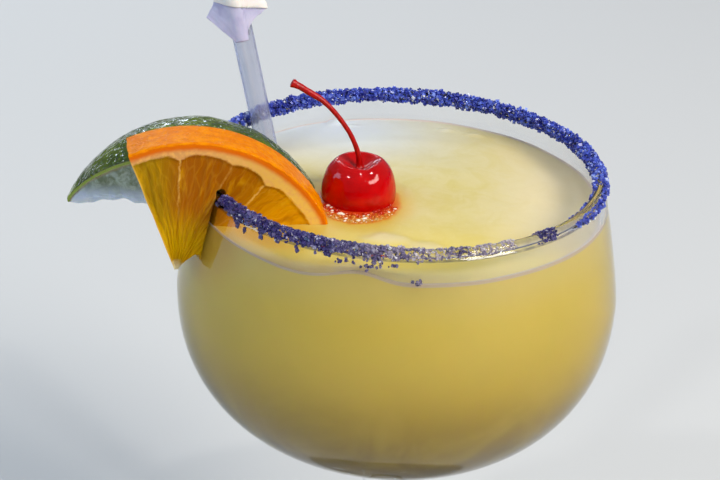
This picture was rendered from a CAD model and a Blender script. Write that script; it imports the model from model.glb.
import random
from math import atan2, copysign, cos, exp, hypot, pi, radians, sin, sqrt

import bmesh
import bpy
from mathutils import Matrix, Vector, noise


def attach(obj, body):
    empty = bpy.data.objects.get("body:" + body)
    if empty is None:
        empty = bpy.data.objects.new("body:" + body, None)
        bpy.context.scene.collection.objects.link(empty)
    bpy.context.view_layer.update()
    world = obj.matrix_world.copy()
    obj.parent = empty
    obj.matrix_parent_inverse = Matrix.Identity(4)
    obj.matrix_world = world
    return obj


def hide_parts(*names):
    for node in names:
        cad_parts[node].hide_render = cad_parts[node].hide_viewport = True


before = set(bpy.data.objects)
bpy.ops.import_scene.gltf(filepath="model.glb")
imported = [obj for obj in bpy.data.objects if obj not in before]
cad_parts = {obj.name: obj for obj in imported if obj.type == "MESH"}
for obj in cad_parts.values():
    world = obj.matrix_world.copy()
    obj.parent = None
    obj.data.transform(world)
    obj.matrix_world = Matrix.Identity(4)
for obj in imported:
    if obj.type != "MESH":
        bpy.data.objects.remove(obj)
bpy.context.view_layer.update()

MM = 0.001
scene = bpy.context.scene

# The glass, as in the frame's solids
RIM_Z = 168 * MM
RIM_R = 54 * MM
WIDEST_R = 60.3 * MM
WIDEST_Z = 133 * MM
BOWL_BOTTOM_Z = 84.2 * MM
BOWL_FLOOR_Z = 90 * MM
RIM_WALL = 2.2 * MM
RIM_BEAD_R = 1.22 * MM  # the lip is rolled into a bead a little thicker than the wall
WIDEST_WALL = 2.4 * MM
LIP_R = RIM_R - RIM_WALL / 2  # the middle of the lip's rounding
LIP_Z = RIM_Z - RIM_WALL / 2
SHOULDER_POWER = 1.2
BOWL_POWER = 2.3
STEM_TOP_R = 15 * MM
STEM_R = 6.4 * MM
FOOT_R = 44 * MM
FOOT_EDGE = 3 * MM
LEVEL_Z = RIM_Z - 9.1 * MM
INTO_WALL = 0.15 * MM  # how far the drink reaches into the wall, so that no air gap shows

# The salt's three arcs, in degrees from +X
SALT_BACK = (-34, 162)
SALT_PATCH = (-50, -42)
SALT_FRONT = (-149.5, -57)
# salt that has slipped down: degrees, mm below the lip, how many crystals, how far they scatter
SALT_STRAYS = ((-104, 3.8, 10, 1.6), (-97.5, 4.2, 10, 1.3), (-90, 3.6, 8, 1.5), (-84.5, 7.4, 12, 0.8))

# The garnish
ORANGE_SLIT = Vector((-47.7 * MM, -25.9 * MM, RIM_Z))
ORANGE_TURN = radians(10)
ORANGE_TIP = (-10.2 * MM, -22.4 * MM)
ORANGE_THICKNESS = 12.5 * MM
ORANGE_TIP_R = 1.2 * MM
ORANGE_CORE_R = 7.5 * MM
ORANGE_EDGES = (-20, 80)
ORANGE_MEMBRANES = ((1.6, 1.0), (25.0, 0.45), (43.0, 1.0))  # angle and strength
SLIT_ABOVE = 1.4 * MM
LIME_CENTRE = Vector((-55.5 * MM, 0.0, RIM_Z - 16.8 * MM))
LIME_HALF_LENGTH = 35.5 * MM
LIME_R = 26 * MM
LIME_POINTED = 0.68
LIME_HALF_ANGLE = 30
CHERRY_CENTRE = Vector((-11.4 * MM, -3.4 * MM, RIM_Z - 6.8 * MM))
CHERRY_R = 10.2 * MM
CHERRY_HALF_HEIGHT = 9.2 * MM
CHERRY_DIMPLE_DEPTH = 2.4 * MM
CHERRY_STEM_R = 0.8 * MM
STRAW_AT = Vector((-40.1 * MM, 25.8 * MM, RIM_Z))
STRAW_LEAN = Vector((-0.237, 0.10, 1.0)).normalized()
STRAW_R = 3.0 * MM
STRAW_WALL = 0.35 * MM
STRAW_LENGTH = 197 * MM
STRAW_BELOW = 71 * MM
WRAPPER_START = 24 * MM
WRAPPER_TORN = 12.8 * MM  # how high the torn, splayed end reaches
WRAPPER_HALF_WIDTH = 5.2 * MM
WRAPPER_PAST_STRAW = 9 * MM
WRAPPER_SHEET = 0.10 * MM
WRAPPER_FOLD_Z = 33.8 * MM  # where the folded upper layer ends, on the drinker's side
WRAPPER_FOLD_SLOPE = -0.3


def srgb(red, green, blue):
    """A colour as seen, from 0 to 255, as the shaders want it."""
    made = []
    for value in (red, green, blue):
        c = value / 255
        made.append(c / 12.92 if c <= 0.04045 else ((c + 0.055) / 1.055) ** 2.4)
    return (*made, 1.0)


def mix(a, b, share):
    return a + (b - a) * share


def clamp(value, low=0.0, high=1.0):
    return max(low, min(high, value))


def soft(value, start, end):
    """0 before start, 1 after end, and smooth between."""
    t = clamp((value - start) / (end - start))
    return t * t * (3 - 2 * t)


def wavy(place, size=1.0):
    """Noise from about -1 to 1 whose waves are about size long."""
    return noise.noise(Vector(place) / size)


class Value:
    """A number or colour that a material's nodes work out."""

    def __init__(self, look, socket):
        self.look = look
        self.socket = socket

    def __add__(self, other):
        return self.look.math("ADD", self, other)

    def __sub__(self, other):
        return self.look.math("SUBTRACT", self, other)

    def __rsub__(self, other):
        return self.look.math("SUBTRACT", other, self)

    def __mul__(self, other):
        return self.look.math("MULTIPLY", self, other)

    def rise(self, start, end):
        """0 to 1 as the value goes from start to end, which may be the smaller."""
        made = self.look.node("ShaderNodeMapRange", {
            "Value": self,
            "From Min": min(start, end),
            "From Max": max(start, end),
            "To Min": 1.0 if start > end else 0.0,
            "To Max": 0.0 if start > end else 1.0,
        }, interpolation_type="SMOOTHSTEP")
        return Value(self.look, made.outputs["Result"])


class Look:
    """A material whose colours and bumps are built up node by node."""

    def __init__(self, name):
        self.material = bpy.data.materials.new(name)
        self.material.use_nodes = True
        self.tree = self.material.node_tree
        self.shader = self.tree.nodes["Principled BSDF"]
        self.place = self.value("ShaderNodeTexCoord", "Object")

    def feed(self, socket, value):
        """A colour is given as red, green and blue from 0 to 255."""
        if isinstance(value, Value):
            self.tree.links.new(value.socket, socket)
        elif value is not None:
            socket.default_value = srgb(*value) if socket.type == "RGBA" else value

    def node(self, kind, inputs=None, **settings):
        made = self.tree.nodes.new(kind)
        for key, setting in settings.items():
            setattr(made, key, setting)
        for key, value in (inputs or {}).items():
            self.feed(made.inputs[key], value)
        return made

    def value(self, kind, output, inputs=None, **settings):
        return Value(self, self.node(kind, inputs, **settings).outputs[output])

    def set(self, **inputs):
        for key, value in inputs.items():
            self.feed(self.shader.inputs[key.replace("_", " ")], value)
        return self

    def math(self, operation, a, b=None, c=None, use_clamp=False):
        inputs = {0: a, 1: b, 2: c}
        return self.value("ShaderNodeMath", 0, inputs, operation=operation, use_clamp=use_clamp)

    def blend(self, share, a, b):
        # the colours' own sockets are the seventh and eighth of the node
        inputs = {0: share, 6: a, 7: b}
        return self.value("ShaderNodeMix", 2, inputs, data_type="RGBA")

    def ramp(self, value, stops):
        made = self.node("ShaderNodeValToRGB", {"Fac": value})
        elements = made.color_ramp.elements
        while len(elements) < len(stops):
            elements.new(0.5)
        for element, (position, colour) in zip(elements, stops):
            element.position = position
            element.color = srgb(*colour)
        return Value(self, made.outputs["Color"])

    def stretch(self, scale):
        return self.value("ShaderNodeVectorMath", 0, {0: self.place, 1: scale}, operation="MULTIPLY")

    def distance(self, vector, point):
        return self.value("ShaderNodeVectorMath", "Value", {0: vector, 1: point}, operation="DISTANCE")

    def facing(self):
        return self.value("ShaderNodeLayerWeight", "Facing", {"Blend": 0.5})

    def noise(self, size, detail=3.0, roughness=0.5, vector=None, distortion=0.0):
        """Cloudy noise whose features are about size metres across."""
        return self.value("ShaderNodeTexNoise", "Fac", {
            "Vector": vector or self.place,
            "Scale": 1 / size,
            "Detail": detail,
            "Roughness": roughness,
            "Distortion": distortion,
        })

    def cells(self, size, vector=None, feature="F1"):
        inputs = {"Vector": vector or self.place, "Scale": 1 / size}
        return self.value("ShaderNodeTexVoronoi", "Distance", inputs, feature=feature)

    def combine(self, x, y, z):
        return self.value("ShaderNodeCombineXYZ", 0, {"X": x, "Y": y, "Z": z})

    def split(self):
        made = self.node("ShaderNodeSeparateXYZ", {0: self.place})
        return [Value(self, socket) for socket in made.outputs]

    def bump(self, height, depth, after=None):
        inputs = {"Height": height, "Distance": depth, "Normal": after}
        return self.value("ShaderNodeBump", "Normal", inputs)

    def attribute(self, name):
        return self.value("ShaderNodeAttribute", "Fac", attribute_name=name)


def new_object(name, data):
    made = bpy.data.objects.new(name, data)
    scene.collection.objects.link(made)
    return made


def add_piece(name, mesh, look, nodes=(), place=None, smooth_below=50):
    """A visible piece that rides on the part's one body."""
    made = new_object(name, mesh)
    mesh.materials.clear()
    mesh.materials.append(look.material)
    if place is not None:
        made.matrix_world = place
    if smooth_below is not None:
        mesh.shade_smooth()
        mesh.set_sharp_from_angle(angle=radians(smooth_below))
    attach(made, "root")
    if nodes:
        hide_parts(*nodes)
    return made


def mesh_of(name, verts, faces):
    mesh = bpy.data.meshes.new(name)
    mesh.from_pydata([tuple(v) for v in verts], [], faces)
    mesh.validate()
    mesh.update()
    return mesh


def facing_out(mesh, join=True):
    shape = bmesh.new()
    shape.from_mesh(mesh)
    if join:
        bmesh.ops.remove_doubles(shape, verts=shape.verts, dist=0.002 * MM)
    bmesh.ops.recalc_face_normals(shape, faces=shape.faces)
    shape.to_mesh(mesh)
    shape.free()
    return mesh


def polar(r, turn, z):
    return Vector((r * cos(turn), r * sin(turn), z))


def skin(rows):
    """The faces between rings of vertices, where a ring may also be one vertex named many times."""
    faces = []
    for a, b in zip(rows, rows[1:]):
        for i in range(len(a)):
            j = (i + 1) % len(a)
            corners = list(dict.fromkeys((a[i], a[j], b[j], b[i])))
            if len(corners) > 2:
                faces.append(corners)
    return faces


def turned(name, profile, steps):
    """A turned mesh; points on the axis become single vertices."""
    verts, rows = [], []
    for r, z in profile:
        if r < 1e-6:
            rows.append([len(verts)] * steps)
            verts.append((0, 0, z))
            continue
        rows.append(range(len(verts), len(verts) + steps))
        verts += [polar(r, 2 * pi * k / steps, z) for k in range(steps)]
    return facing_out(mesh_of(name, verts, skin(rows)))


def box_skin(name, counts, place):
    """The closed skin of a block of counts cells, with each lattice point moved by place(a, b, c)."""
    index, verts, faces = {}, [], []

    def vert(i, j, k):
        if (i, j, k) not in index:
            index[i, j, k] = len(verts)
            verts.append(place(i / counts[0], j / counts[1], k / counts[2]))
        return index[i, j, k]

    for axis in range(3):
        one, two = [n for n in range(3) if n != axis]
        for end in (0, counts[axis]):
            for p in range(counts[one]):
                for q in range(counts[two]):
                    corners = []
                    for dp, dq in ((0, 0), (1, 0), (1, 1), (0, 1)):
                        at = [0, 0, 0]
                        at[axis], at[one], at[two] = end, p + dp, q + dq
                        corners.append(vert(*at))
                    faces.append(corners)
    return facing_out(mesh_of(name, verts, faces))


def through(points, steps):
    ends = [points[0], *points, points[-1]]
    made = []
    for a, b, c, d in zip(ends, ends[1:], ends[2:], ends[3:]):
        for k in range(steps):
            t = k / steps
            made.append(tuple(
                0.5 * (2 * q + (r - p) * t + (2 * p - 5 * q + 4 * r - s) * t * t
                       + (3 * q - p - 3 * r + s) * t ** 3)
                for p, q, r, s in zip(a, b, c, d)
            ))
    return [*made, tuple(points[-1])]


# The bowl's wall

def wall_radius(z, rim_r, widest_r, bottom_z):
    if z >= WIDEST_Z:
        share = min(1.0, (z - WIDEST_Z) / (RIM_Z - WIDEST_Z))
        return widest_r - (widest_r - rim_r) * share ** SHOULDER_POWER
    share = min(1.0, (WIDEST_Z - z) / (WIDEST_Z - bottom_z))
    return widest_r * (1 - share ** BOWL_POWER) ** (1 / BOWL_POWER)


def outer_radius(z):
    return wall_radius(z, RIM_R, WIDEST_R, BOWL_BOTTOM_Z)


def inner_radius(z):
    return wall_radius(z, RIM_R - RIM_WALL, WIDEST_R - WIDEST_WALL, BOWL_FLOOR_Z)


def bowl_curve(widest_r, bottom_z, steps):
    made = []
    for k in range(steps):
        turn = pi / 2 * (1 - k / steps)
        share = 2 / BOWL_POWER
        r = widest_r * max(0.0, cos(turn)) ** share
        made.append((r if k else 0.0, WIDEST_Z - (WIDEST_Z - bottom_z) * sin(turn) ** share))
    return made


def lip_arc(radius, start, end, steps):
    made = []
    for k in range(steps + 1):
        turn = radians(mix(start, end, k / steps))
        made.append((LIP_R + radius * cos(turn), LIP_Z + radius * sin(turn)))
    return made


def glass_profile():
    shoulder = [mix(WIDEST_Z, LIP_Z - 3 * MM, k / 14) for k in range(15)]
    inside = bowl_curve(WIDEST_R - WIDEST_WALL, BOWL_FLOOR_Z, 22)
    inside += [(inner_radius(z), z) for z in shoulder]
    inside += [(inner_radius(z), z) for z in (LIP_Z - 2.2 * MM, LIP_Z - 1.4 * MM)]
    lip = lip_arc(RIM_BEAD_R, 215, -35, 14)
    outside = [(outer_radius(z), z) for z in (LIP_Z - 1.4 * MM, LIP_Z - 2.2 * MM)]
    outside += [(outer_radius(z), z) for z in reversed(shoulder)]
    below = [p for p in reversed(bowl_curve(WIDEST_R, BOWL_BOTTOM_Z, 26)) if p[0] > STEM_TOP_R + 2 * MM]
    stem = through([
        (STEM_TOP_R, BOWL_BOTTOM_Z + 0.6 * MM),
        (STEM_R + 2.4 * MM, BOWL_BOTTOM_Z - 7 * MM),
        (STEM_R, BOWL_BOTTOM_Z - 20 * MM),
        (STEM_R, 36 * MM),
        (STEM_R + 2.4 * MM, 20 * MM),
        (STEM_R + 10 * MM, 10.5 * MM),
        (FOOT_R - 12 * MM, 6 * MM),
        (FOOT_R - 1 * MM, FOOT_EDGE),
    ], 6)
    foot = [(FOOT_R - 0.2 * MM, FOOT_EDGE * 0.8), (FOOT_R, FOOT_EDGE / 2), (FOOT_R - 0.3 * MM, 0.4 * MM)]
    foot += [(FOOT_R - 1 * MM, 0.0), (0.0, 0.0)]
    return inside + lip + outside + below + stem + foot


def wall_ring():
    """The wall grown by a little and made taller: it cuts the wedges' slits."""
    low_z = RIM_Z - 40 * MM
    gap = 0.12 * MM
    heights = [mix(low_z, LIP_Z, k / 14) for k in range(14)]
    inside = [(inner_radius(z) - gap, z) for z in heights]
    lip = lip_arc(RIM_WALL / 2 + gap, 180, 0, 8)
    crest = [(r, z + SLIT_ABOVE) for r, z in lip]
    outside = [(outer_radius(z) + gap, z) for z in reversed(heights)]
    ring = inside + lip[:1] + crest + lip[-1:] + outside
    mesh = turned("wall_ring", [*ring, ring[0]], 144)
    return new_object("wall_ring", mesh)


def slit(mesh, place, cutter):
    """The mesh with the wall's slit cut into it."""
    holder = new_object("to_slit", mesh)
    holder.matrix_world = place
    change = holder.modifiers.new("Slit", "BOOLEAN")
    change.operation = "DIFFERENCE"
    change.solver = "EXACT"
    change.object = cutter
    bpy.context.view_layer.update()
    graph = bpy.context.evaluated_depsgraph_get()
    made = bpy.data.meshes.new_from_object(holder.evaluated_get(graph))
    made.name = mesh.name
    bpy.data.objects.remove(holder)
    return made


def glass_look():
    look = Look("clear_glass")
    smear = look.noise(22 * MM, detail=4, distortion=0.6)
    clear = look.blend(smear.rise(0.3, 0.7), (253, 253, 253), (248, 249, 250))
    facing = look.facing()
    clear = look.blend(facing.rise(0.55, 0.97), clear, (176, 182, 192))
    x, y, z = look.split()

    # a film of salt water on the lip, thicker just under it
    lip = z.rise(RIM_Z - 2.3 * MM, RIM_Z - 1.9 * MM)
    patchy = look.noise(2.6 * MM).rise(0.3, 0.6)
    film = lip * patchy
    clear = look.blend(film * 0.5, clear, (176, 176, 200))
    under = z.rise(RIM_Z - 2.75 * MM, RIM_Z - 2.5 * MM) * z.rise(RIM_Z - 2.0 * MM, RIM_Z - 2.2 * MM)
    clear = look.blend(under * (patchy * 0.4 + 0.5), clear, (92, 98, 164))
    crest = lip * facing.rise(0.55, 0.9)
    clear = look.blend(crest * 0.85, clear, (70, 68, 92))
    rough = smear.rise(0.45, 0.8) * 0.03 + 0.004
    ripple = look.noise(30 * MM, detail=1)
    return look.set(
        Base_Color=clear,
        Roughness=film * 0.08 + rough,
        IOR=1.5,
        Transmission_Weight=1.0,
        Normal=look.bump(ripple, 0.05 * MM),
    )


# The drink

FOAM_HALF = (10.9 * MM, 13.2 * MM)  # the foam lies mostly on the drinker's side of the cherry
FOAM_FORWARD = 2.6 * MM

# Soft lumps of crushed ice under the surface: middle, half widths and height in mm
ICE_LUMPS = (
    (-3.0, -28.5, 8.5, 5.5, 0.65),
    (7.0, -33.0, 7.5, 6.0, 0.6),
    (-20.0, 48.5, 3.4, 2.2, 1.0),
    (-15.5, 47.0, 2.2, 1.5, 0.5),
    (12.0, 47.0, 3.0, 1.6, 0.5),
    (20.0, 44.5, 3.0, 1.8, 0.4),
)


def ice_height(x, y):
    lift = 0.0
    for at_x, at_y, half_x, half_y, height in ICE_LUMPS:
        away = hypot((x / MM - at_x) / half_x, (y / MM - at_y) / half_y)
        ragged = 0.22 * wavy((x, y, at_x * MM), 4 * MM)
        lift += height * (1 - soft(away + ragged, 0.25, 1.0))
    return lift * MM


def surface_height(x, y):
    """How far the drink's surface stands above or below its level."""
    reach = hypot(x, y) / (RIM_R - RIM_WALL)
    turn = atan2(y, x) / radians(1)
    height = 2.1 * MM * exp(-((turn + 100) / 8) ** 2) * reach ** 6
    height -= 0.8 * MM * exp(-((turn + 125) / 14) ** 2) * reach ** 4
    height += 0.35 * MM * wavy((x, y, 0.0), 17 * MM)
    height += 0.06 * MM * wavy((x, y, 4.0), 5.5 * MM)
    height += ice_height(x, y)
    cherry = hypot(x - CHERRY_CENTRE.x, y - CHERRY_CENTRE.y) - 9.6 * MM
    height += 0.7 * MM * exp(-max(0.0, cherry) / (1.3 * MM))
    straw = STRAW_AT - STRAW_LEAN * ((RIM_Z - LEVEL_Z) / STRAW_LEAN.z)
    away = hypot(x - straw.x, y - straw.y) - STRAW_R
    height += 0.5 * MM * exp(-max(0.0, away) / (1.0 * MM))
    meniscus = (inner_radius(LEVEL_Z) - hypot(x, y)) / (0.9 * MM)
    return height + 0.3 * MM * exp(-max(0.0, meniscus))


def drink_mesh():
    rings, steps = 96, 240
    turns = [2 * pi * i / steps for i in range(steps)]
    wall = inner_radius(LEVEL_Z) + INTO_WALL
    verts = [(0, 0, LEVEL_Z + surface_height(0, 0))]
    rows = [[0] * steps]

    def add_row(points):
        rows.append(range(len(verts), len(verts) + steps))
        verts.extend(polar(r, turn, z) for turn, (r, z) in zip(turns, points))

    for k in range(1, rings + 1):
        r = wall * (1 - (1 - k / rings) ** 1.25)
        edge = [LEVEL_Z + surface_height(*polar(r, turn, 0).xy) for turn in turns]
        if k < rings:
            add_row([(r, z) for z in edge])
    for k in range(21):
        heights = [mix(z, WIDEST_Z, (k / 20) ** 1.8) for z in edge]
        add_row([(inner_radius(z) + INTO_WALL, z) for z in heights])
    below = bowl_curve(WIDEST_R - WIDEST_WALL + INTO_WALL, BOWL_FLOOR_Z - INTO_WALL, 26)
    for place in reversed(below[1:]):
        add_row([place] * steps)
    rows.append([len(verts)] * steps)
    verts.append((0, 0, BOWL_FLOOR_Z - INTO_WALL))
    mesh = facing_out(mesh_of("drink_poured", verts, skin(rows)))
    ice = mesh.attributes.new("ice", "FLOAT", "POINT")
    down = mesh.attributes.new("down", "FLOAT", "POINT")
    for n, vertex in enumerate(mesh.vertices):
        x, y, z = vertex.co
        top = LEVEL_Z + surface_height(x, y)
        ice.data[n].value = clamp(ice_height(x, y) / (0.9 * MM))
        at_wall = hypot(x, y) > inner_radius(z) - 0.05 * MM or z < WIDEST_Z
        below = top - z if at_wall else hypot(x, y) - inner_radius(z)
        thinner = mix(1.0, 1.9, soft(-x, 5 * MM, 34 * MM))
        down.data[n].value = (max(0.0, below) if at_wall else below) / MM * thinner
    return mesh


def drink_look():
    look = Look("margarita")
    x, y, z = look.split()
    down = look.attribute("down")
    cloud = look.noise(26 * MM, detail=4, roughness=0.55, distortion=0.8)
    swirl = look.noise(9 * MM, detail=5, roughness=0.6, distortion=1.2)

    # the side through the glass: paler at the top, darker towards the stem
    side = look.blend(z.rise(0.152, 0.112), (236, 211, 84), (206, 174, 38))
    side = look.blend(z.rise(0.132, 0.088), side, (96, 70, 0))
    side = look.blend(cloud.rise(0.35, 0.7) * 0.35, side, (228, 201, 72))
    side = look.blend(z.rise(0.146, LEVEL_Z), side, (236, 214, 118))

    # the surface: yellower in front, paler at the right, with froth at the back left
    top = look.blend(swirl.rise(0.35, 0.75), (204, 189, 126), (198, 181, 102))
    top = look.blend(y.rise(-0.004, -0.046), top, (212, 187, 66))
    top = look.blend(x.rise(0.012, 0.05) * 0.75, top, (226, 208, 174))
    top = look.blend(look.attribute("ice") * 0.5, top, (216, 206, 190))
    froth = y.rise(0.006, 0.046) * x.rise(0.034, -0.022)
    top = look.blend(froth, top, (206, 213, 220))
    grit = look.noise(1.3 * MM)
    top = look.blend(grit.rise(0.55, 0.8) * 0.1, top, (226, 220, 190))

    # amber on the surface beside the orange
    turn = Matrix.Rotation(ORANGE_TURN, 3, "Z")
    along = ORANGE_SLIT + turn @ Vector((12 * MM, 0, 0))
    middle = (along.x * 0.55, along.y - 3 * MM, 0)
    cast = swirl * (4 * MM) + look.distance(look.combine(x * 0.55, y, 0.0), middle)
    top = look.blend(cast.rise(16 * MM, 6 * MM) * 0.85, top, (200, 152, 14))

    # red and amber round the cherry
    across = x * (1 / FOAM_HALF[0]) - CHERRY_CENTRE.x / FOAM_HALF[0]
    onward = y * (1 / FOAM_HALF[1]) + (FOAM_FORWARD - CHERRY_CENTRE.y) / FOAM_HALF[1]
    far = look.distance(look.combine(across, onward, 0.0), (0, 0, 0))
    far = swirl * 0.25 + (far - 0.12)
    top = look.blend(far.rise(1.6, 1.0) * 0.7, top, (206, 164, 40))
    top = look.blend(far.rise(1.14, 0.98), top, (204, 112, 20))
    top = look.blend(far.rise(1.0, 0.8), top, (190, 44, 4))

    # pale by the front wall, darker behind the slit, and a pale line where the drink meets the glass
    by_wall = down.rise(-11.0, -4.0) * y.rise(-0.024, -0.04)
    top = look.blend(by_wall * 0.85, top, (246, 224, 144))
    slit_foot = (ORANGE_SLIT.x, ORANGE_SLIT.y, RIM_Z - 8 * MM)
    close = cloud * (6 * MM) + look.distance(look.place, slit_foot)
    side = look.blend(close.rise(23 * MM, 9 * MM) * 0.6, side, (214, 160, 20))
    ground = look.blend(down.rise(0.1, 0.5), top, side)
    line = down.rise(-1.2, -0.3) * down.rise(1.05, 0.6)
    ground = look.blend(line * 0.8, ground, (216, 196, 188))
    return look.set(
        Base_Color=ground,
        Roughness=swirl * 0.2 + 0.34,
        Subsurface_Weight=0.2,
        Subsurface_Scale=3 * MM,
        Normal=look.bump(look.noise(3.0 * MM), 0.06 * MM),
        Subsurface_Radius=(1.0, 0.8, 0.4),
        Specular_IOR_Level=0.3,
    )


# Salt

def rim_section(degrees):
    """The salt at one place: its reach down inside and outside, its thickness, how dense and how coarse it
    is, and how bare the lip's crest is between the two sides."""
    chunk = wavy((degrees * 0.33, 1.7, 0))
    fine = wavy((degrees * 0.95, 8.1, 0))
    if degrees > -40:
        back = soft(degrees, -30, 12)
        inner = mix(1.3, 2.9, back) + 0.7 * chunk + 0.5 * fine
        outer = mix(2.0, 2.9, soft(degrees, -36, -26)) + 0.7 * chunk + 0.7 * fine
        dense = mix(0.42, 1.0, back) + 0.25 * chunk
        bare = mix(1.0, 0.0, soft(degrees, -14, 6))
        return inner, outer, mix(0.4, 1.0, back), dense, mix(0.72, 0.88, back), bare
    if degrees > -52:
        middle = soft(degrees, -50, -47) * soft(-degrees, 42, 43.5)
        return 1.3, 1.9 + 0.4 * chunk, 0.25, mix(0.1, 1.0, middle), 0.66, 0.0
    heavy = soft(-degrees, 80, 97)
    taper = soft(degrees, -147, -140)
    drip = max(0.0, chunk * 1.3 + fine * 1.5)
    outside = mix(1.5, 1.6, heavy) + 0.5 * chunk + 2.8 * drip * mix(0.12, 1.0, heavy)
    dense = mix(0.40 + 0.45 * chunk + 0.25 * fine, 1.0, heavy)
    inside = mix(1.2, 1.3, heavy) + 0.4 * fine
    return inside, outside * mix(0.6, 1, taper), mix(0.2, 0.55, heavy), dense, mix(0.66, 0.92, heavy), 0.0


def on_section(along, inner_depth, outer_depth):
    """A place on the rim and the way out from it, as along goes from inside, over, to outside."""
    arc = pi * RIM_WALL / 2 / MM
    inner_run = inner_depth - RIM_WALL / 2 / MM
    outer_run = outer_depth - RIM_WALL / 2 / MM
    at = along * (inner_run + arc + outer_run)
    if at < inner_run:
        z = LIP_Z - (inner_run - at) * MM
        return inner_radius(z), z, -1.0, 0.15
    if at < inner_run + arc:
        turn = pi * (1 - (at - inner_run) / arc)
        out_r, out_z = cos(turn), sin(turn)
        return LIP_R + out_r * RIM_WALL / 2, LIP_Z + out_z * RIM_WALL / 2, out_r, out_z
    z = LIP_Z - (at - inner_run - arc) * MM
    return outer_radius(z), z, 1.0, 0.1


CUBE = [(x, y, z) for x in (-1, 1) for y in (-1, 1) for z in (-1, 1)]
CUBE_FACES = [(0, 1, 3, 2), (4, 6, 7, 5), (0, 4, 5, 1), (2, 3, 7, 6), (0, 2, 6, 4), (1, 5, 7, 3)]


def add_crystal(verts, faces, tones, place, size, tone, draw):
    """One crystal: a cube with its corners knocked out of true, turned any way."""
    angle = draw.uniform(0, 6.28)
    turn = Matrix.Rotation(angle, 3, Vector([draw.gauss(0, 1) for _ in range(3)]))
    shape = Vector((draw.uniform(0.7, 1.25), draw.uniform(0.7, 1.1), draw.uniform(0.55, 1.0))) * size / 2
    first = len(verts)
    for corner in CUBE:
        point = Vector([c * s * draw.uniform(0.72, 1.1) for c, s in zip(corner, shape)])
        verts.append(place + turn @ point)
        tones.append(tone)
    faces += [tuple(first + i for i in face) for face in CUBE_FACES]


def salt_piece(name, arc, per_degree, seed, look, node, strays=()):
    draw = random.Random(seed)
    verts, faces, tones = [], [], []
    for _ in range(int((arc[1] - arc[0]) * per_degree)):
        degrees = draw.uniform(*arc)
        inner_depth, outer_depth, thick, dense, coarse, bare = rim_section(degrees)
        if draw.random() > dense:
            continue
        r, z, out_r, out_z = on_section(draw.random(), inner_depth, outer_depth)
        if out_z > 0.55 and draw.random() < bare:
            continue
        size = clamp(draw.lognormvariate(-0.48, 0.34), 0.26, 1.15) * coarse * MM
        lift = draw.random() ** 1.6 * 0.75 * thick * MM + 0.28 * size
        place = polar(r + out_r * lift, radians(degrees), z + out_z * lift)
        cloud = wavy(place, 3.2 * MM)
        tone = clamp(0.45 + 0.32 * cloud + draw.gauss(0, 0.16))
        if draw.random() < 0.02:
            tone = 1.0
        add_crystal(verts, faces, tones, place, size, tone, draw)
    for degrees, fallen, count, spread in strays:
        for _ in range(count):
            turn = radians(degrees + draw.gauss(0, spread))
            size = draw.uniform(0.4, 0.85) * MM
            z = RIM_Z - (fallen + draw.gauss(0, 0.3 * spread)) * MM
            place = polar(outer_radius(z) + 0.3 * size, turn, z)
            add_crystal(verts, faces, tones, place, size, draw.uniform(0.1, 0.5), draw)
    mesh = mesh_of(name, verts, faces)
    store_tone(mesh, tones)
    add_piece(name, mesh, look, (node,), smooth_below=None)


def store_tone(mesh, tones):
    tone = mesh.attributes.new("tone", "FLOAT", "POINT")
    tone.data.foreach_set("value", tones)


def salt_look(name, stops, clear, paler=None):
    look = Look(name)
    tone = look.attribute("tone")
    fleck = look.noise(0.5 * MM, detail=2)
    shade = tone + (fleck * 0.2 - 0.1)
    ground = look.ramp(shade, stops)
    if paler is not None:
        x, y, z = look.split()
        share = x.rise(-0.024, 0.014) * x.rise(0.036, 0.03)
        ground = look.blend(share * 0.85, ground, look.ramp(shade, paler))
    return look.set(
        Base_Color=ground,
        Roughness=fleck * 0.3 + 0.12,
        IOR=1.54,
        Transmission_Weight=clear,
    )


# The orange

def orange_radius(degrees):
    return mix(36.0, 42.0, clamp((degrees + 20) / 88) ** 1.3) * MM


def orange_core_radius(degrees):
    return mix(ORANGE_TIP_R, ORANGE_CORE_R, clamp((degrees - 28) / 16))


def orange_rind(degrees):
    rind = mix(3.0, 4.6, soft(degrees, -5, 60))
    for angle, strength in ORANGE_MEMBRANES:
        rind += 1.5 * strength * exp(-((degrees - angle) / 3.6) ** 2)
    return rind * MM


def orange_place(a, b, c):
    """a goes round, b from the tip to the peel, c from the front face to the back."""
    degrees = mix(*ORANGE_EDGES, a)
    outside = orange_radius(degrees)
    core = orange_core_radius(degrees)
    r = mix(core, outside, 1 - (1 - b) ** 1.15)
    turn = radians(degrees)
    depth = c * ORANGE_THICKNESS
    on_face = c in (0.0, 1.0)
    inward = 1 if c < 0.5 else -1
    if on_face:
        wet = soft((outside - r - orange_rind(degrees)) / MM, 0.0, 0.9)
        edges = soft(r * radians(degrees - ORANGE_EDGES[0]) / MM, 0.0, 1.0)
        edges *= soft(r * radians(ORANGE_EDGES[1] - degrees) / MM, 0.0, 1.0)
        streak = wavy((degrees * 0.42, r / (8 * MM), 3.0 + c))
        sac = wavy((degrees * 0.9, r / (4 * MM), 9.0 + c))
        depth += inward * wet * edges * (0.38 + 0.26 * streak + 0.16 * sac) * MM
        edge = soft(r / MM, (outside / MM) - 0.9, outside / MM)
        depth += inward * 0.35 * edge * MM
    if b == 1.0:
        pebble = wavy((degrees * 0.9, c * 9.0, 0))
        r += (0.22 * pebble - 0.12) * MM
        if on_face:
            r -= 0.25 * MM
    if a in (0.0, 1.0):
        ragged = wavy((r / (5 * MM), c * 3, a * 7))
        turn += radians(0.5) * ragged
    if b == 0.0:
        r += 0.7 * MM * wavy((degrees / 6, c * 4, 2))
    return Vector((r * sin(turn), depth, r * cos(turn)))


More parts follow.
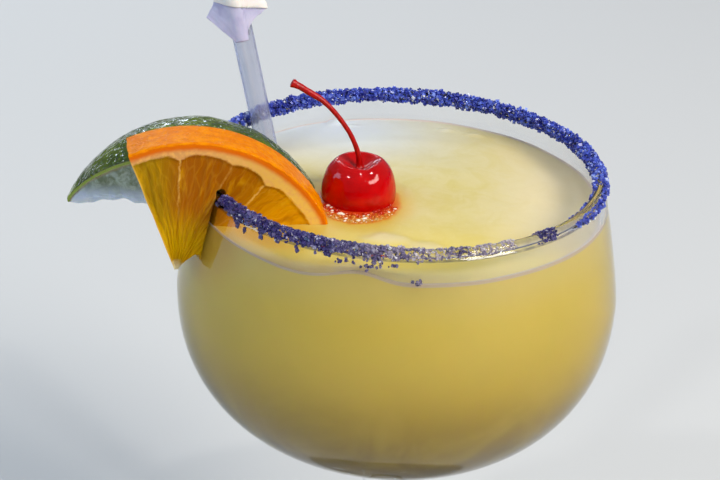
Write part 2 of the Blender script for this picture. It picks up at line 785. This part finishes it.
def orange_look():
    look = Look("orange")
    x, y, z = look.split()
    r = look.math("SQRT", x * x + z * z)
    turn = look.math("ARCTAN2", x, z) * (180 / pi)
    share = look.math("MULTIPLY_ADD", turn, 1 / 88, 20 / 88, use_clamp=True)
    outside = look.math("POWER", share, 1.3) * (6 * MM) + 36 * MM
    wobble = look.noise(3.0 * MM, detail=2) * (0.7 * MM) - 0.35 * MM
    deep = outside - r + wobble

    # the membranes, where the rind is thicker too
    rind = turn.rise(-5, 60) * (1.6 * MM) + 3.0 * MM
    lines = 0.0
    for n, (angle, strength) in enumerate(ORANGE_MEMBRANES):
        off = turn - angle
        spread = off * off * (-1 / 13)
        rind = rind + look.math("EXPONENT", spread) * (1.5 * strength * MM)
        waver = look.noise(7 * MM, detail=4, roughness=0.65, vector=look.combine(r, n * 0.05, 0.0))
        beside = r * (off * radians(1))
        beside = look.math("ABSOLUTE", beside + (waver * (2.6 * MM) - 1.3 * MM))
        beads = look.noise(1.6 * MM, detail=2).rise(0.38, 0.62)
        line = beside.rise(0.42 * MM, 0.08 * MM) * strength
        line = line * r.rise(13 * MM, 27 * MM)
        line = line * (beads * 0.6 + 0.4)
        lines = look.math("MAXIMUM", lines, line)
    for angle in ORANGE_EDGES:
        off = turn - angle
        beside = look.math("ABSOLUTE", r * (off * radians(1)))
        lines = look.math("MAXIMUM", lines, beside.rise(0.5 * MM, 0.1 * MM) * 0.7)

    # the flesh: long sacs that point at the core, darker in the middle
    stir = look.noise(5 * MM, detail=2) * 5.0 + turn
    polar = look.combine(stir * (0.45 * MM), r * 0.2, y * 0.5)
    sacs = look.noise(1.7 * MM, roughness=0.55, vector=polar, distortion=0.4)
    walls = look.cells(1.5 * MM, vector=polar, feature="DISTANCE_TO_EDGE").rise(0.1, 0.0)
    flesh = look.blend(turn.rise(-14, 6), (150, 114, 0), (154, 86, 0))
    flesh = look.blend(turn.rise(28, 62), flesh, (206, 140, 0))
    flesh = look.blend(r.rise(21 * MM, 9 * MM), flesh, (188, 146, 0))
    flesh = look.blend(sacs.rise(0.52, 0.32), flesh, look.blend(0.4, flesh, (140, 74, 0)))
    flesh = look.blend(sacs.rise(0.54, 0.74) * 0.4, flesh, (222, 164, 8))
    flesh = look.blend(walls * 0.1, flesh, (232, 180, 50))
    flesh = look.blend(lines * 0.55, flesh, (236, 190, 96))

    # pith, peel and the pale core, each by its depth under the peel
    pith = look.blend(turn.rise(0, 55), (204, 148, 88), (228, 182, 84))
    pith = look.blend(look.noise(1.2 * MM).rise(0.4, 0.7), pith, (222, 168, 92))
    fuzz = look.noise(1.4 * MM, detail=4, roughness=0.7) * (1.4 * MM) - 0.7 * MM
    inside_of = deep - rind + fuzz
    in_pith = inside_of.rise(0.45 * MM, -0.45 * MM)
    ground = look.blend(in_pith, flesh, pith)
    ground = look.blend(deep.rise(2.7 * MM, 1.1 * MM), ground, (208, 100, 4))
    zest = look.blend(look.noise(2.4 * MM).rise(0.35, 0.7), (214, 114, 0), (228, 136, 0))
    ground = look.blend(deep.rise(0.8 * MM, 0.4 * MM), ground, zest)
    tip = r + look.noise(2.5 * MM) * (3 * MM)
    ground = look.blend(tip.rise(5.6 * MM, 3.4 * MM), ground, (228, 216, 176))
    is_zest = deep.rise(0.7 * MM, 0.4 * MM)
    pores = look.cells(1.0 * MM).rise(0.0, 0.5) * is_zest
    wet = sacs * (1.0 - in_pith)
    normal = look.bump(pores, 0.16 * MM)
    normal = look.bump(wet, 0.35 * MM, after=normal)
    dull = in_pith * 0.3 + 0.14
    dull = is_zest * -0.16 + dull
    return look.set(
        Base_Color=ground,
        Roughness=look.noise(1.4 * MM) * 0.12 + dull,
        Subsurface_Weight=0.25,
        Subsurface_Scale=2 * MM,
        Normal=normal,
        Subsurface_Radius=(1.0, 0.5, 0.15),
        Specular_IOR_Level=0.02,
        Coat_Weight=0.08,
        Coat_Roughness=0.08,
        Coat_Normal=normal,
    )


# The lime

def lime_radius(u):
    return LIME_R * max(0.0, 1 - u * u) ** LIME_POINTED


def lime_place(a, b, c):
    """a goes from end to end, b from the core to the peel, c across from the near cut to the far one."""
    u = mix(-0.985, 0.985, a)
    outside = lime_radius(u)
    core = 0.5 * MM
    r = mix(core, outside, 1 - (1 - b) ** 1.2)
    half = LIME_HALF_ANGLE
    turn = radians(mix(-half, half, c))
    x = LIME_HALF_LENGTH * u
    at = Vector((x, r * sin(turn), r * cos(turn)))
    if c in (0.0, 1.0):
        way = Vector((0, cos(turn), -sin(turn))) * (1 if c == 0 else -1)
        wet = soft((outside - r) / MM, 1.8, 3.2) * soft(r / MM, 0.4, 2.5)
        sacs = wavy((x / (2.4 * MM), r / (7 * MM), c * 5))
        at += way * wet * (0.5 + 0.55 * sacs) * MM
    if b == 1.0:
        pebble = wavy((x, at.y, at.z), 2.2 * MM)
        broad = wavy((x, at.y, at.z), 9 * MM)
        at += Vector((0, sin(turn), cos(turn))) * (0.22 * pebble + 0.4 * broad - 0.25) * MM
    near_core = 1 - soft(r / MM, 0.5, 5.0)
    arch = 1.9 * exp(-((u + 0.58) / 0.22) ** 2) + 0.8 * wavy((x / (3 * MM), 0, 9))
    at.z += near_core * arch * MM
    return at


def lime_look():
    look = Look("lime")
    x, y, z = look.split()

    # how deep under the peel each place lies
    u = x * (1 / LIME_HALF_LENGTH)
    inside = look.math("MAXIMUM", 1.0 - u * u, 0.0)
    outside = look.math("POWER", inside, LIME_POINTED) * LIME_R
    r = look.math("SQRT", y * y + z * z)
    wobble = look.noise(3.5 * MM, detail=2) * (1.0 * MM) - 0.5 * MM
    deep = outside - r
    fuzzy = deep + wobble
    along = look.combine(x * 0.9, r * 0.22, y)
    sacs = look.noise(1.8 * MM, detail=4, roughness=0.6, vector=along, distortion=0.6)
    flesh = look.blend(sacs.rise(0.35, 0.7), (92, 112, 84), (154, 174, 166))
    low = sacs * (5 * MM) + r
    flesh = look.blend(low.rise(13 * MM, 4 * MM), flesh, (196, 216, 250))
    flesh = look.blend(low.rise(6.6 * MM, 3.0 * MM), flesh, (220, 234, 255))
    ground = look.blend(fuzzy.rise(4.2 * MM, 2.8 * MM), flesh, (132, 126, 72))
    ground = look.blend(fuzzy.rise(2.9 * MM, 1.9 * MM), ground, (134, 160, 30))
    peel = look.blend(look.noise(7 * MM).rise(0.35, 0.7), (50, 70, 0), (88, 104, 0))
    peel = look.blend(look.cells(1.5 * MM).rise(0.35, 0.05), peel, (98, 116, 0))
    ends = look.math("ABSOLUTE", u).rise(0.86, 0.99)
    peel = look.blend(ends * 0.8, peel, (138, 160, 34))
    skin = deep.rise(0.95 * MM, 0.55 * MM)
    ground = look.blend(skin, ground, peel)
    pores = look.cells(1.6 * MM).rise(0.0, 0.6) + look.noise(2.6 * MM, detail=2)
    normal = look.bump(pores * skin, 0.36 * MM)
    normal = look.bump(sacs * (1.0 - skin), 0.4 * MM, after=normal)
    return look.set(
        Base_Color=ground,
        Roughness=look.noise(2 * MM) * 0.16 + 0.06,
        Subsurface_Weight=0.2,
        Subsurface_Scale=2 * MM,
        Normal=normal,
        Subsurface_Radius=(0.7, 1.0, 0.3),
        Specular_IOR_Level=0.08,
        Coat_Weight=0.6,
        Coat_Roughness=0.05,
        Coat_Normal=normal,
    )


# The cherry

def cherry_profile():
    top = CHERRY_HALF_HEIGHT
    points = [
        (0.0, top - CHERRY_DIMPLE_DEPTH),
        (1.9 * MM, top - 0.9 * CHERRY_DIMPLE_DEPTH),
        (3.9 * MM, top - 0.45 * CHERRY_DIMPLE_DEPTH),
        (5.7 * MM, top - 0.05 * MM),
        (7.3 * MM, top - 1.0 * MM),
        (9.1 * MM, top - 3.7 * MM),
        (CHERRY_R, 0.6 * MM),
        (0.93 * CHERRY_R, -4.2 * MM),
        (0.66 * CHERRY_R, -7.6 * MM),
        (0.30 * CHERRY_R, -8.9 * MM),
        (0.0, -CHERRY_HALF_HEIGHT),
    ]
    return [(max(0.0, r), z) for r, z in through(points, 7)]


def cherry_mesh():
    mesh = turned("cherry_glossy", cherry_profile(), 88)
    for vertex in mesh.vertices:
        x, y, z = vertex.co
        turn = atan2(y, x)
        r = hypot(x, y)
        lobes = 0.18 * cos(2 * turn + 0.6) + 0.13 * cos(3 * turn + 1.9)
        crease = -0.5 * exp(-((turn / radians(1) + 68) / 13) ** 2) * soft(z / MM, 5.0, 8.5)
        vertex.co.z += (lobes * soft(z / MM, 3, 9) + crease) * MM * soft(r / MM, 1.0, 4.5)
        bulge = 0.14 * wavy((x, y, z), 6 * MM) * MM
        vertex.co += vertex.co.normalized() * (bulge - 0.14 * MM)
    return mesh


def cherry_look():
    look = Look("cherry")
    mottle = look.noise(5 * MM, detail=4, roughness=0.6)
    x, y, z = look.split()
    ground = look.blend(mottle.rise(0.3, 0.7), (166, 0, 0), (190, 0, 0))
    ground = look.blend(z.rise(2 * MM, 9 * MM) * 0.35, ground, (158, 0, 2))
    low = z.rise(-1.5 * MM, -4.5 * MM)
    ground = look.blend(low * 0.5, ground, (216, 26, 6))
    return look.set(
        Base_Color=ground,
        Roughness=mottle * 0.06 + 0.03,
        Subsurface_Weight=0.15,
        Subsurface_Scale=2.5 * MM,
        Normal=look.bump(look.noise(1.6 * MM), 0.05 * MM),
        Subsurface_Radius=(1.0, 0.12, 0.08),
        Specular_IOR_Level=0.25,
    )


def stalk_mesh():
    foot = Vector((0, 0, CHERRY_HALF_HEIGHT - CHERRY_DIMPLE_DEPTH + 0.1 * MM))
    bends = ((0, 0), (-0.8, 4.6), (-3.7, 10.7), (-9.2, 17.4), (-14.9, 21.2), (-18.9, 23.2))
    route = through([tuple(foot + Vector((x, 0, z)) * MM) for x, z in bends], 12)
    route = [Vector(p) for p in route]
    around = 20
    verts = []
    for k, here in enumerate(route):
        way = (route[min(k + 1, len(route) - 1)] - route[max(k - 1, 0)]).normalized()
        side = way.cross(Vector((0, 1, 0))).normalized()
        other = way.cross(side)
        share = k / (len(route) - 1)
        size = 1.1 - 0.3 * sin(pi * min(1.0, share * 1.3))
        size += 0.45 * exp(-((share - 0.97) / 0.05) ** 2) + 0.5 * exp(-share / 0.03)
        size *= 1 - 0.55 * soft(share, 0.985, 1.0)
        for i in range(around):
            turn = 2 * pi * i / around
            rough = 1 + 0.10 * wavy((share * 26, cos(turn), sin(turn)))
            out = side * cos(turn) + other * sin(turn)
            verts.append(here + out * CHERRY_STEM_R * size * rough)
    rows = [range(first, first + around) for first in range(0, len(verts), around)]
    faces = [*skin(rows), rows[0][::-1], rows[-1]]
    return facing_out(mesh_of("cherry_stalk", verts, faces))


def stalk_look():
    look = Look("cherry_stalk")
    grain = look.noise(1.2 * MM, vector=look.stretch((3.0, 3.0, 0.6)))
    return look.set(
        Base_Color=look.blend(grain.rise(0.3, 0.7), (138, 0, 0), (180, 2, 0)),
        Roughness=grain * 0.2 + 0.22,
        Normal=look.bump(grain, 0.06 * MM),
        Specular_IOR_Level=0.3,
    )


def bubbles_mesh():
    """Small bubbles at the cherry's waterline, red near it and amber further out."""
    draw = random.Random(11)
    shape = bmesh.new()
    placed, tones = [], []
    for _ in range(9000):
        turn = radians(draw.uniform(-168, -10))
        reach = sqrt(draw.uniform(0.4, 1.0))
        x = CHERRY_CENTRE.x + FOAM_HALF[0] * reach * cos(turn)
        y = CHERRY_CENTRE.y - FOAM_FORWARD + FOAM_HALF[1] * reach * sin(turn)
        size = draw.uniform(0.22, 0.62) * MM * mix(1.1, 0.6, soft(reach, 0.7, 1.0))
        off = hypot(x - CHERRY_CENTRE.x, y - CHERRY_CENTRE.y) - 9.7 * MM
        if off < 0:
            continue
        if any((x - px) ** 2 + (y - py) ** 2 < (0.85 * (size + ps)) ** 2 for px, py, ps in placed):
            continue
        placed.append((x, y, size))
        shiny = draw.random() < 0.11
        tone = 1.0 if shiny else clamp(off / (5.5 * MM) + draw.gauss(0, 0.12), 0.0, 0.8)
        z = LEVEL_Z + surface_height(x, y) + 0.2 * size
        ball = Matrix.Translation((x, y, z)) @ Matrix.Rotation(draw.uniform(0, 0.8), 4, "Z")
        ball = ball @ Matrix.Diagonal((1.7 if shiny else 1.1, 0.9, 0.7, 1))
        made = bmesh.ops.create_icosphere(shape, subdivisions=2, radius=size, matrix=ball)
        tones += [tone] * len(made["verts"])
        if len(placed) == 260:
            break
    mesh = bpy.data.meshes.new("cherry_bubbles")
    shape.to_mesh(mesh)
    shape.free()
    store_tone(mesh, tones)
    return mesh


def bubbles_look():
    look = Look("bubbles")
    tint = look.attribute("tone") + (look.noise(0.8 * MM) * 0.2 - 0.1)
    return look.set(
        Base_Color=look.ramp(tint, [
            (0.0, (186, 20, 0)),
            (0.3, (214, 72, 6)),
            (0.6, (222, 128, 30)),
            (0.8, (218, 164, 64)),
            (0.93, (255, 246, 226)),
        ]),
        Roughness=tint * 0.05 + 0.03,
        IOR=1.33,
        Transmission_Weight=0.25,
        Coat_Weight=0.5,
    )


# The straw and its wrapper

def straw_frame():
    depth = Vector((0, 1, 0))
    depth = (depth - STRAW_LEAN * depth.dot(STRAW_LEAN)).normalized()
    width = depth.cross(STRAW_LEAN)
    turn = Matrix((width, depth, STRAW_LEAN)).transposed()
    return Matrix.Translation(STRAW_AT) @ turn.to_4x4()


def straw_mesh():
    low, high = -STRAW_BELOW, STRAW_LENGTH - STRAW_BELOW
    outside = [(STRAW_R, mix(low, high, k / 40)) for k in range(41)]
    inside = [(STRAW_R - STRAW_WALL, z) for _, z in reversed(outside)]
    return turned("straw_tube", [*outside, *inside, outside[0]], 48)


def straw_look():
    look = Look("straw")
    streak = look.noise(0.9 * MM, detail=2, vector=look.stretch((1.0, 1.0, 0.03)))
    clear = look.blend(streak.rise(0.35, 0.65), (230, 234, 246), (240, 242, 250))
    facing = look.facing()
    return look.set(
        Base_Color=look.blend(facing.rise(0.35, 0.95), clear, (120, 136, 232)),
        Roughness=streak * 0.1 + 0.08,
        IOR=1.45,
        Normal=look.bump(streak, 0.008 * MM),
        Transmission_Weight=0.88,
    )


def wrapper_mesh():
    """A creased paper sleeve, torn and splayed below and crimped flat above the straw."""
    count = 96
    belly = STRAW_R + 0.45 * MM
    straw_top = STRAW_LENGTH - STRAW_BELOW
    top = straw_top + WRAPPER_PAST_STRAW
    torn_end = WRAPPER_START + WRAPPER_TORN
    lines = [WRAPPER_START + WRAPPER_TORN * k / 64 for k in range(64)]
    lines += [mix(torn_end, straw_top, k / 90) for k in range(90)]
    lines += [mix(straw_top, top, k / 10) for k in range(11)]
    verts = []
    for row, along in enumerate(lines):
        flat = soft(along, straw_top - 4 * MM, top - 3 * MM)
        half_depth = mix(belly, 0.22 * MM, flat)
        half_width = mix(WRAPPER_HALF_WIDTH, 6.2 * MM, flat)
        share = clamp(1 - (along - WRAPPER_START) / WRAPPER_TORN)
        for k in range(count):
            turn = 2 * pi * k / count
            round_x, round_y = cos(turn), sin(turn)
            tangent = min(1.0, half_depth / half_width)
            if abs(round_x) > tangent:
                past = (abs(round_x) - tangent) / max(1e-9, 1 - tangent)
                x = copysign(mix(half_depth * tangent, half_width, past), round_x)
                touch = half_depth * sqrt(max(0.0, 1 - tangent * tangent))
                y = copysign(touch * (1 - past), round_y)
            else:
                x, y = half_depth * round_x, half_depth * round_y
            side = clamp((abs(x) - 0.5 * belly) / (WRAPPER_HALF_WIDTH - 0.5 * belly))
            place = Vector((x, y, along))
            if share > 0:
                if x < 0:
                    place += Vector((-3.4 * share ** 1.3 * side, 0, 7.4 * share * side)) * MM
                else:
                    place += Vector((3.2 * share ** 0.5 * side, 0, 7.4 * share * side ** 0.35)) * MM
                curl = wavy((x, y, 0), 3 * MM)
                place.y += share * side * 1.2 * curl * MM
            crease = 1 - 3 * abs(wavy((x / (5 * MM), y / (7 * MM), along / (7 * MM))))
            fine = 1 - 3 * abs(wavy((x / (2.2 * MM), y / (3 * MM), along / (3 * MM) + 5)))
            push = (0.26 * crease + 0.10 * fine) * MM * (1 - 0.7 * flat)
            out = Vector((round_x, round_y, 0))
            place += out * max(push, -0.12 * MM) * (0.3 + 0.7 * side)
            if y < 0:
                over = soft((place.z - WRAPPER_FOLD_Z - WRAPPER_FOLD_SLOPE * place.x) / MM, -0.15, 0.15)
                place.y -= 0.5 * MM * over * (1 - 0.8 * flat)
            if row == 0:
                place.z += 0.35 * MM * wavy((x, y, 0), 0.9 * MM)
            verts.append(place)
    rows = [range(first, first + count) for first in range(0, len(verts), count)]
    return facing_out(mesh_of("wrapper_paper", verts, [*skin(rows), rows[-1]]), join=False)


def paper_look():
    look = Look("paper")
    fibre = look.noise(0.5 * MM, detail=4, roughness=0.7, vector=look.stretch((1.0, 1.0, 0.35)))
    blotch = look.noise(5 * MM)
    x, y, z = look.split()
    past_fold = x * -WRAPPER_FOLD_SLOPE + z - WRAPPER_FOLD_Z
    upper = past_fold.rise(-0.1 * MM, 0.1 * MM)
    crisp = blotch.rise(0.35, 0.65)
    lower_layer = look.blend(crisp, (172, 169, 206), (192, 190, 220))
    upper_layer = look.blend(crisp, (226, 216, 214), (234, 228, 224))
    ground = look.blend(upper, lower_layer, upper_layer)
    ground = look.blend(fibre.rise(0.55, 0.8) * 0.2, ground, (196, 192, 202))
    return look.set(
        Base_Color=ground,
        Roughness=fibre * 0.2 + 0.62,
        Subsurface_Weight=0.2,
        Subsurface_Scale=0.4 * MM,
        Normal=look.bump(fibre, 0.05 * MM),
    )


# Putting it together

def build():
    ring = wall_ring()

    glass = turned("glass_blown", glass_profile(), 160)
    add_piece("glass_blown", glass, glass_look(), ("glass",))
    add_piece("drink_poured", drink_mesh(), drink_look(), ("drink",))

    deep = salt_look("salt_front", [
        (0.0, (34, 26, 80)),
        (0.35, (58, 50, 122)),
        (0.65, (84, 77, 142)),
        (0.9, (146, 140, 184)),
        (1.0, (240, 240, 250)),
    ], 0.35, [
        (0.0, (66, 56, 98)),
        (0.3, (138, 126, 158)),
        (0.6, (212, 198, 204)),
        (1.0, (255, 252, 250)),
    ])
    bright = salt_look("salt_back", [
        (0.0, (24, 26, 104)),
        (0.35, (48, 60, 170)),
        (0.65, (80, 102, 214)),
        (0.9, (148, 172, 250)),
        (1.0, (244, 246, 255)),
    ], 0.2)
    salt_piece("salt_crystals_back", SALT_BACK, 46, 3, bright, "salt_rim_back")
    salt_piece("salt_crystals_front", SALT_FRONT, 48, 5, deep, "salt_rim_front", SALT_STRAYS)
    salt_piece("salt_crystals_patch", SALT_PATCH, 44, 7, deep, "salt_rim_patch")

    turn = Matrix.Rotation(ORANGE_TURN, 4, "Z")
    tip = ORANGE_SLIT + turn @ Vector((ORANGE_TIP[0], 0, ORANGE_TIP[1]))
    orange_at = Matrix.Translation(tip) @ turn
    orange = slit(box_skin("orange_cut", (160, 76, 18), orange_place), orange_at, ring)
    add_piece("orange_cut", orange, orange_look(), ("orange_wedge",), orange_at)

    lime_at = Matrix.Translation(LIME_CENTRE)
    lime = slit(box_skin("lime_cut", (130, 44, 36), lime_place), lime_at, ring)
    add_piece("lime_cut", lime, lime_look(), ("lime_wedge",), lime_at)
    bpy.data.objects.remove(ring)

    cherry_at = Matrix.Translation(CHERRY_CENTRE)
    add_piece("cherry_glossy", cherry_mesh(), cherry_look(), ("cherry",), cherry_at, 60)
    add_piece("cherry_stalk", stalk_mesh(), stalk_look(), ("cherry_stem",), cherry_at, 60)
    add_piece("cherry_bubbles", bubbles_mesh(), bubbles_look(), smooth_below=60)

    straw_at = straw_frame()
    add_piece("straw_tube", straw_mesh(), straw_look(), ("straw",), straw_at)
    paper = wrapper_mesh()
    sleeve = add_piece("wrapper_paper", paper, paper_look(), ("straw_wrapper",), straw_at, 28)
    sheet = sleeve.modifiers.new("Sheet", "SOLIDIFY")
    sheet.thickness = WRAPPER_SHEET
    sheet.offset = 1


def floor_and_light():
    shape = bmesh.new()
    bmesh.ops.create_grid(shape, x_segments=2, y_segments=2, size=12.0)
    mesh = bpy.data.meshes.new("floor")
    shape.to_mesh(mesh)
    shape.free()
    look = Look("floor")
    look.set(Base_Color=(206, 205, 203), Roughness=0.9)
    mesh.materials.append(look.material)
    ground = new_object("floor", mesh)
    ground.location.z = -0.4 * MM  # just clear of the foot

    world = bpy.data.worlds.new("studio")
    world.use_nodes = True
    tree = world.node_tree
    way = tree.nodes.new("ShaderNodeTexCoord")
    split = tree.nodes.new("ShaderNodeSeparateXYZ")
    sky = tree.nodes.new("ShaderNodeValToRGB")
    sky.color_ramp.elements[0].color = (0.38, 0.40, 0.44, 1)
    sky.color_ramp.elements[1].color = (0.72, 0.78, 0.90, 1)
    sky.color_ramp.elements[1].position = 0.8
    tree.links.new(way.outputs["Generated"], split.inputs[0])
    tree.links.new(split.outputs["Z"], sky.inputs["Fac"])
    tree.links.new(sky.outputs["Color"], tree.nodes["Background"].inputs["Color"])
    tree.nodes["Background"].inputs["Strength"].default_value = 0.50
    scene.world = world

    def softbox(name, place, size, power, colour):
        light = bpy.data.lights.new(name, "AREA")
        light.shape = "RECTANGLE"
        light.size, light.size_y = size
        light.energy = power
        light.color = colour
        made = new_object(name, light)
        made.location = place
        aim = Vector((0, 0, 0.14)) - Vector(place)
        made.rotation_euler = aim.to_track_quat("-Z", "Y").to_euler()

    softbox("key", (1.16, -0.84, 1.22), (0.85, 0.66), 32, (1.0, 0.95, 0.86))
    softbox("left", (-1.20, -0.10, 0.70), (0.4, 0.6), 4.5, (0.42, 0.72, 1.0))
    softbox("back", (-0.30, 0.95, 0.85), (0.7, 0.10), 2.4, (0.86, 0.93, 1.0))
    softbox("glint_left", (-0.55, -0.45, 1.00), (0.06, 0.06), 1.6, (1.0, 1.0, 1.0))
    softbox("glint_back", (-0.45, 1.08, 0.42), (0.50, 0.03), 1.5, (0.76, 0.88, 1.0))
    softbox("glint_right", (0.20, -0.45, 1.25), (0.08, 0.05), 2.0, (1.0, 0.97, 0.92))


def camera():
    """The photograph's camera: a long lens at about 24 degrees above the rim, rolled a little."""
    data = bpy.data.cameras.new("camera")
    data.lens = 109.5
    data.sensor_width = 36
    data.clip_start = 0.01
    made = new_object("camera", data)
    forward = Vector((-0.01767522, 0.90208415, -0.43119807))
    up = Vector((-0.05161793, 0.42986707, 0.90141549))
    right = forward.cross(up)
    turn = Matrix((right, up, -forward)).transposed().to_4x4()
    turn.translation = Vector((0.0, -0.53916, 0.40262))
    made.matrix_world = turn
    scene.camera = made


build()
floor_and_light()
camera()
scene.view_settings.view_transform = "Standard"
